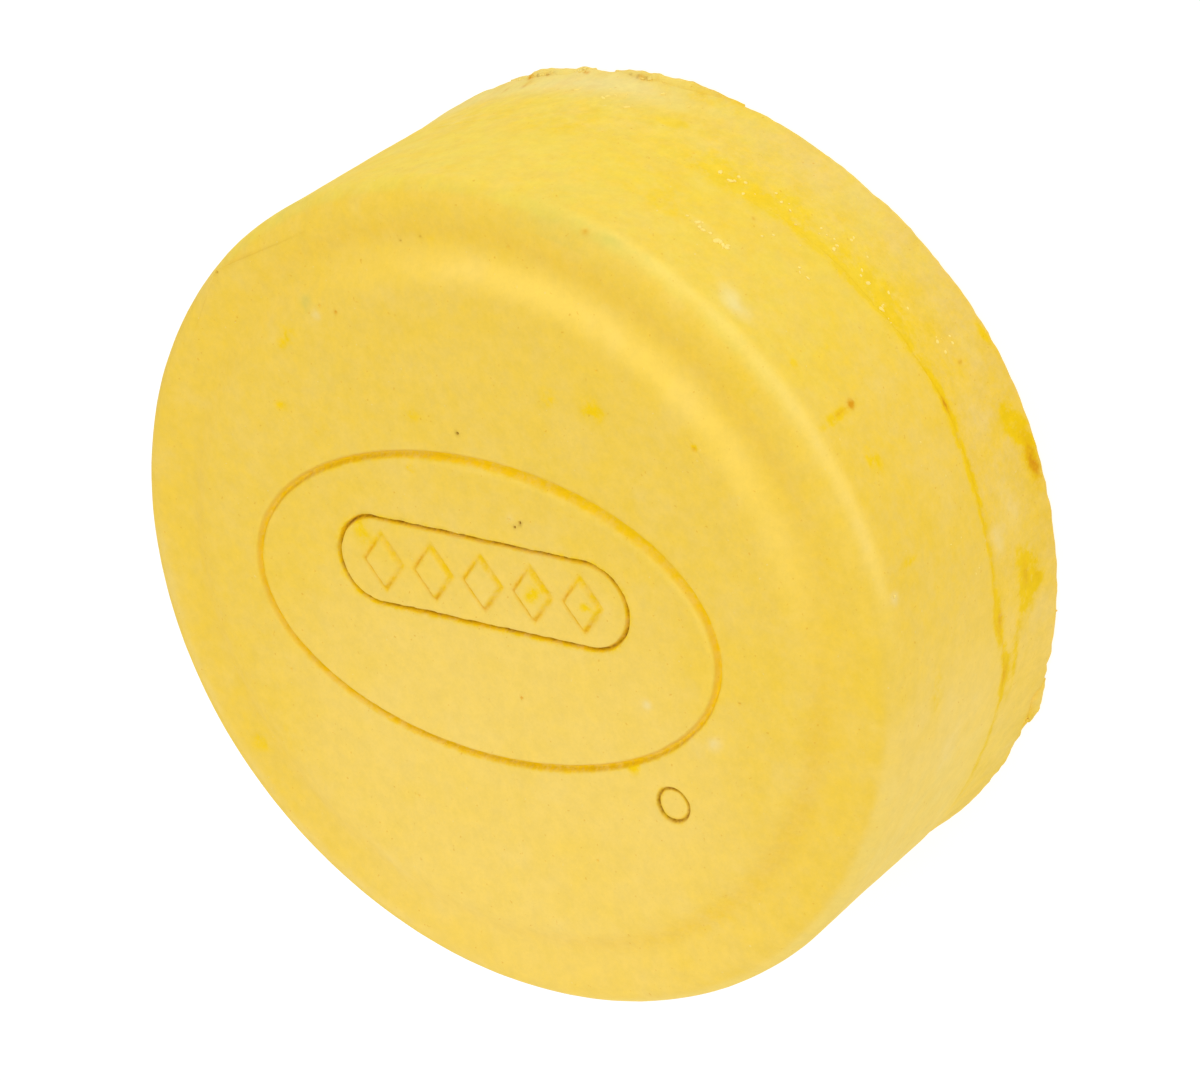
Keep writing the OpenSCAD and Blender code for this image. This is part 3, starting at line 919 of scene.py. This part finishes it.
def clay_material(name, plain, mottle, grain):
    """Dry cast clay: mottled, speckled, tinted where the tint attributes say, with a fine grain."""
    g = Graph(name)
    coarse_break = g.between(g.noise(0.8, seed=1.0, detail=3.0, rough=0.7), 0.28, 0.72, 0.3, 1.5)
    soft_break = g.between(g.noise(2.0, seed=11.0, rough=0.6), 0.3, 0.7, 0.75, 1.25)
    fine_break = g.between(g.noise(0.4, seed=2.0, rough=0.6), 0.3, 0.7, 0.72, 1.2)

    # Mottling, from small patches to cloudy ones.
    patchy = g.noise(2.2, seed=13.0, detail=4.0, rough=0.8)
    uneven = g.between(patchy, 0.3, 0.7, -0.5 * mottle, 0.5 * mottle)
    uneven = g.maths("MULTIPLY", uneven, g.attribute("uneven"))
    colour = g.mix(g.maths("ADD", g.attribute("warm"), uneven), plain, RICH)
    # Painted highlight and painted reflection, where their attribute says.
    colour = g.mix(g.attribute("painted_highlight"), colour, PAINTED_HIGHLIGHT)
    cloudy = g.between(g.noise(7.0, seed=3.0, detail=3.0, rough=0.6), 0.45, 0.75, 0.0, mottle)
    colour = g.mix(cloudy, colour, RICH)
    washed = g.between(g.noise(5.0, seed=4.0, detail=3.0, rough=0.6), 0.5, 0.75, 0.0, 0.5 * mottle)
    colour = g.mix(washed, colour, PALE)

    # Tints, each broken up by noise so that it has no clean outline. The rich, stain and dirt tints are also
    # painted shade in places.
    for tint, target, breaks in (
            ("rich", RICH, coarse_break), ("pale", PALE, soft_break), ("green", GREEN, soft_break),
            ("lemon", LEMON, soft_break), ("stain_and_shade", STAIN_AND_SHADE, fine_break), ("dirt_and_shade", DIRT_AND_SHADE, fine_break)):
        amount = g.maths("MULTIPLY", g.attribute(tint), breaks)
        colour = g.mix(g.between(amount, 0.0, 1.25), colour, target)

    # Specks, and a grain of light and dark.
    dark_speck = g.between(g.noise(0.3, seed=5.0, detail=1.0), 0.7, 0.8, 0.0, 0.45)
    colour = g.mix(dark_speck, colour, STAIN_AND_SHADE)
    pale_speck = g.between(g.noise(0.33, seed=6.0, detail=1.0), 0.74, 0.82, 0.0, 0.3)
    colour = g.mix(pale_speck, colour, PALE)
    shade = g.between(g.noise(1.4, seed=7.0, detail=4.0, rough=0.85), 0.25, 0.75, 1 - grain, 1 + grain)
    # Painted shade darkens the clay where its attribute says.
    shade = g.maths("MULTIPLY", shade, g.maths("SUBTRACT", 1.0, g.attribute("painted_shade")))
    colour = g.mix(1.0, colour, g.grey(shade), "MULTIPLY")
    g.put(colour, g.shader.inputs["Base Color"])

    g.put(g.between(g.noise(3.0, seed=8.0), 0.3, 0.7, 0.82, 0.95), g.shader.inputs["Roughness"])
    g.shader.inputs["Specular IOR Level"].default_value = 0.1
    g.shader.inputs["Sheen Weight"].default_value = 0.03
    g.shader.inputs["Sheen Roughness"].default_value = 0.6
    under = g.bump(g.noise(1.1, seed=9.0), 0.03)
    g.put(g.bump(g.noise(0.2, seed=10.0, rough=0.6), 0.012, under), g.shader.inputs["Normal"])
    return g.material


def dust_material(name):
    """The pale dust that the little flecks are made of."""
    g = Graph(name)
    g.put(g.mix(g.noise(0.3, seed=12.0), DUST, BRIGHT_DUST), g.shader.inputs["Base Color"])
    g.shader.inputs["Roughness"].default_value = 0.95
    g.shader.inputs["Specular IOR Level"].default_value = 0.2
    return g.material


build_front(clay_material("front_clay", PLAIN, mottle=0.2, grain=0.042))
build_back(clay_material("back_clay", BACK_PLAIN, mottle=0.36, grain=0.055))
build_flash(clay_material("flash_clay", FLASH_PLAIN, mottle=0.4, grain=0.05))
build_flecks(dust_material("pale_dust"))


# ---------------------------------------------------------------- stage, in metres

def build_floor():
    """A wide floor, lit from within so that it comes out white."""
    half = 6.0
    corners = [(-half, -half, 0), (half, -half, 0), (half, half, 0), (-half, half, 0)]
    mesh = bpy.data.meshes.new("floor")
    mesh.from_pydata(corners, [], [(0, 1, 2, 3)])
    floor = bpy.data.objects.new("floor", mesh)
    bpy.context.scene.collection.objects.link(floor)
    material = bpy.data.materials.new("pale_floor")
    material.use_nodes = True
    shader = material.node_tree.nodes["Principled BSDF"]
    shader.inputs["Base Color"].default_value = FLOOR_GREY
    shader.inputs["Roughness"].default_value = 0.9
    shader.inputs["Specular IOR Level"].default_value = 0.2
    shader.inputs["Emission Color"].default_value = WHITE
    shader.inputs["Emission Strength"].default_value = 0.8
    mesh.materials.append(material)


def towards(azimuth, elevation):
    """The direction at an azimuth and an elevation, both in radians."""
    return Vector((math.cos(azimuth) * math.cos(elevation), math.sin(azimuth) * math.cos(elevation),
                   math.sin(elevation)))


def build_camera():
    """A long lens that looks down on the face from the front right, rolled."""
    azimuth, elevation, roll = (math.radians(a) for a in (39.24, 46.66, -126.15))
    back_axis = towards(azimuth, elevation)
    level = Vector((-math.sin(azimuth), math.cos(azimuth), 0))
    rise = back_axis.cross(level)
    right = level * math.cos(roll) + rise * math.sin(roll)
    up = back_axis.cross(right)
    # The view's middle and the distance, in radii of the cake from the middle of the rim ring.
    radius = CAKE_R * MM
    aside, above, distance = 0.2046, 0.1385, 22.18
    place = Vector((0, 0, RING_Z * MM)) + radius * (aside * right + above * up + distance * back_axis)
    data = bpy.data.cameras.new("camera")
    data.sensor_width = 36.0
    data.lens = 301.2
    data.clip_start, data.clip_end = 0.05, 20.0
    camera = bpy.data.objects.new("camera", data)
    camera.matrix_world = Matrix((
        (right.x, up.x, back_axis.x, place.x),
        (right.y, up.y, back_axis.y, place.y),
        (right.z, up.z, back_axis.z, place.z),
        (0, 0, 0, 1)))
    bpy.context.scene.collection.objects.link(camera)
    bpy.context.scene.camera = camera


def area_light(name, azimuth, elevation, watts, distance=0.9, size=0.4):
    """A soft square light in that direction from the bar, aimed at it."""
    data = bpy.data.lights.new(name, "AREA")
    data.size = size
    data.energy = watts
    light = bpy.data.objects.new(name, data)
    direction = towards(math.radians(azimuth), math.radians(elevation))
    light.location = Vector((0, 0, FACE_Z / 2 * MM)) + direction * distance
    light.rotation_mode = "QUATERNION"
    light.rotation_quaternion = direction.to_track_quat("Z", "Y")
    light.visible_camera = False
    bpy.context.scene.collection.objects.link(light)


def build_world(strength, horizon):
    """An even white sky that is brighter in a low band round the horizon."""
    world = bpy.data.worlds.new("studio")
    world.use_nodes = True
    tree = world.node_tree
    place = tree.nodes.new("ShaderNodeTexCoord")
    parts = tree.nodes.new("ShaderNodeSeparateXYZ")
    band = tree.nodes.new("ShaderNodeMapRange")
    for name, number in (("From Min", 0.1), ("From Max", 0.2), ("To Min", horizon), ("To Max", strength)):
        band.inputs[name].default_value = number
    tree.links.new(place.outputs["Generated"], parts.inputs[0])
    tree.links.new(parts.outputs["Z"], band.inputs["Value"])
    background = tree.nodes["Background"]
    background.inputs["Color"].default_value = WHITE
    tree.links.new(band.outputs[0], background.inputs["Strength"])
    bpy.context.scene.world = world


build_floor()
build_camera()
build_world(strength=0.59, horizon=1.0)
area_light("overhead", azimuth=60, elevation=60, watts=1.9)
area_light("front_low", azimuth=50, elevation=26, watts=0.75)
area_light("side", azimuth=130, elevation=30, watts=0.6)
area_light("behind", azimuth=225, elevation=30, watts=0.6)
area_light("near_face", azimuth=270, elevation=40, watts=0.045, distance=0.17, size=0.12)
bpy.context.scene.view_settings.view_transform = "Standard"
